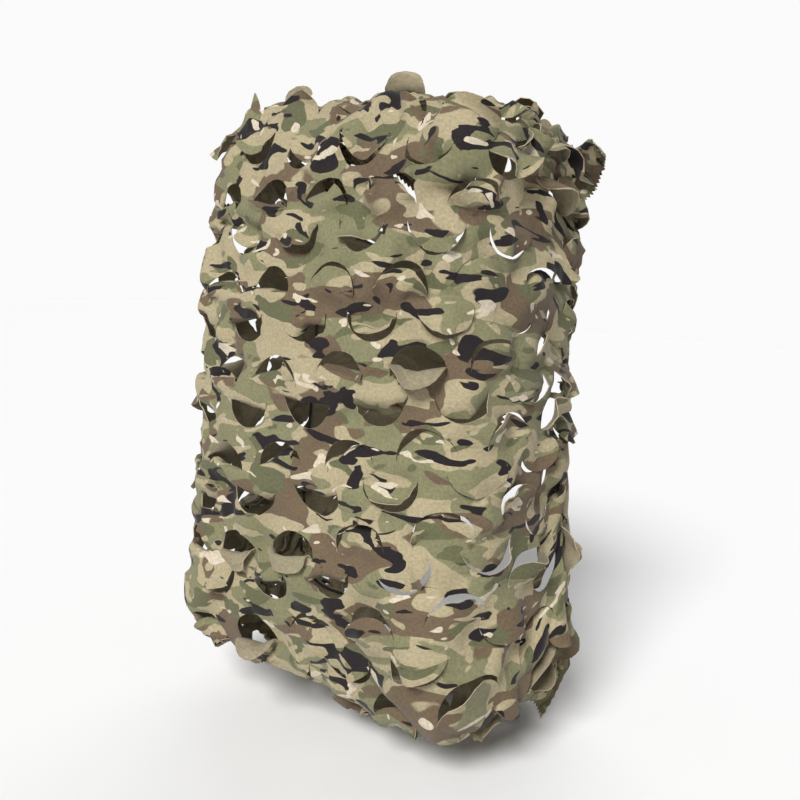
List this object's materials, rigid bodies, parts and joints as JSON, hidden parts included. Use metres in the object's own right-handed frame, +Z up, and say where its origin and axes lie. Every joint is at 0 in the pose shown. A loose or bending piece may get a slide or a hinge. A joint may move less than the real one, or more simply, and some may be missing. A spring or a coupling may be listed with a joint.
{
  "type": "camouflage backpack cover net",
  "caption": "Leaf-cut camouflage net cover as it sits over an upright backpack, open at the back, drawn in by an elastic cord, with loose pinked corners.",
  "frame": {"origin": "the point under the top of the cover where the pack inside holds it up", "axes": "+Z up, the front of the cover faces -Y, the open mouth faces +Y"},
  "size_m": [0.3866, 0.3458, 0.5691],
  "materials": {
    "camouflage_cloth": "matt woven polyester, printed on its face in sand, sage, brown and dark brown, plain dull khaki on its reverse",
    "elastic_cord": "black braided elastic cord, matt"
  },
  "bodies": {
    "root": {"net_cloth": "camouflage_cloth", "drawcord": "elastic_cord"}
  },
  "joints": []
}
